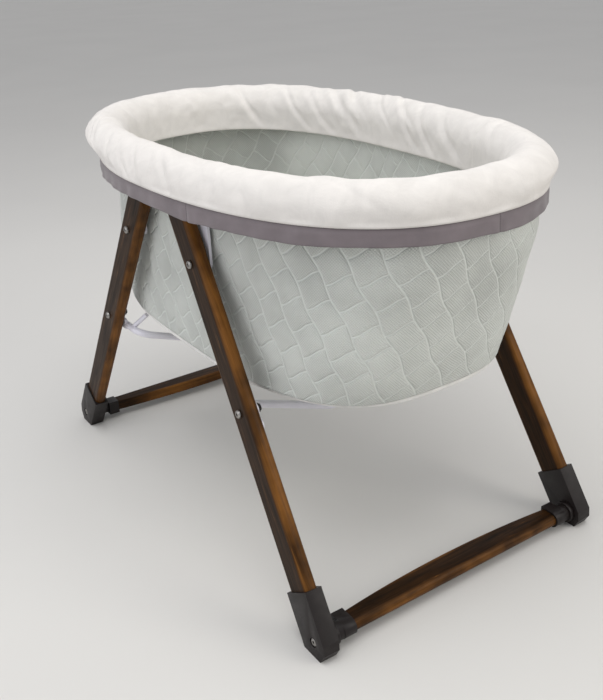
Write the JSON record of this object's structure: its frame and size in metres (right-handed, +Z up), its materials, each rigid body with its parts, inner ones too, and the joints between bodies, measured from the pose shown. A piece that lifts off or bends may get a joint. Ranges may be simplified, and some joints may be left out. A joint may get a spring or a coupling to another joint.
{
  "type": "bassinet on stand",
  "caption": "Oval soft-sided bassinet with a padded rim on a folding wooden leg stand whose floor rails turn over to become rockers.",
  "frame": {"origin": "on the floor under the middle of the basket", "axes": "+X along the basket's length, +Y across it, +Z up"},
  "size_m": [0.9146, 0.5452, 0.6225],
  "materials": {
    "white_steel": "gloss",
    "bolt_steel": "satin",
    "dark_plastic": "semi-matte",
    "quilted_fabric": "quilted spacer knit",
    "piping": "woven binding",
    "board": "raw fibreboard",
    "pad_fabric": "matt knit",
    "satin": "satin",
    "plush": "short plush",
    "walnut": "satin lacquer over dark stain"
  },
  "bodies": {
    "basket": {"rim_tube": "white_steel", "hanger_plates": "white_steel", "pivot_bolts": "bolt_steel", "pivot_nuts": "bolt_steel", "pivot_spacers": "dark_plastic", "basket_wall": "quilted_fabric", "bottom_piping": "piping", "bottom_panel": "quilted_fabric", "base_hoop": "white_steel", "base_board": "board", "mattress_pad": "pad_fabric", "rim_band": "satin", "plush_rim": "plush"},
    "frame_head": {"leg_head_left": "walnut", "leg_head_right": "walnut", "boot_head_left": "dark_plastic", "boot_head_right": "dark_plastic", "cross_tube_head": "white_steel", "tube_posts_head": "white_steel", "mid_bolts_head": "bolt_steel", "mid_nuts_head": "dark_plastic", "swivel_discs_head": "dark_plastic", "rail_bolts_head": "bolt_steel"},
    "frame_foot": {"leg_foot_left": "walnut", "leg_foot_right": "walnut", "boot_foot_left": "dark_plastic", "boot_foot_right": "dark_plastic", "cross_tube_foot": "white_steel", "tube_posts_foot": "white_steel", "mid_bolts_foot": "bolt_steel", "mid_nuts_foot": "dark_plastic", "swivel_discs_foot": "dark_plastic", "rail_bolts_foot": "bolt_steel"},
    "rocker_head": {"rail_head": "walnut", "collars_head": "dark_plastic"},
    "rocker_foot": {"rail_foot": "walnut", "collars_foot": "dark_plastic"}
  },
  "joints": [
    {"name": "fold_head", "type": "hinge", "parent": "basket", "child": "frame_head", "pos_m": [0.1067, 0, 0.4708], "axis": [0, 1, 0], "range_deg": [0, 32]},
    {"name": "fold_foot", "type": "hinge", "parent": "basket", "child": "frame_foot", "pos_m": [-0.1067, 0, 0.4708], "axis": [0, -1, 0], "range_deg": [0, 32]},
    {"name": "rail_head_turn", "type": "hinge", "parent": "frame_head", "child": "rocker_head", "pos_m": [0.404, 0, 0.022], "axis": [0, -1, 0], "range_deg": [0, 90]},
    {"name": "rail_foot_turn", "type": "hinge", "parent": "frame_foot", "child": "rocker_foot", "pos_m": [-0.404, 0, 0.022], "axis": [0, 1, 0], "range_deg": [0, 90]}
  ]
}
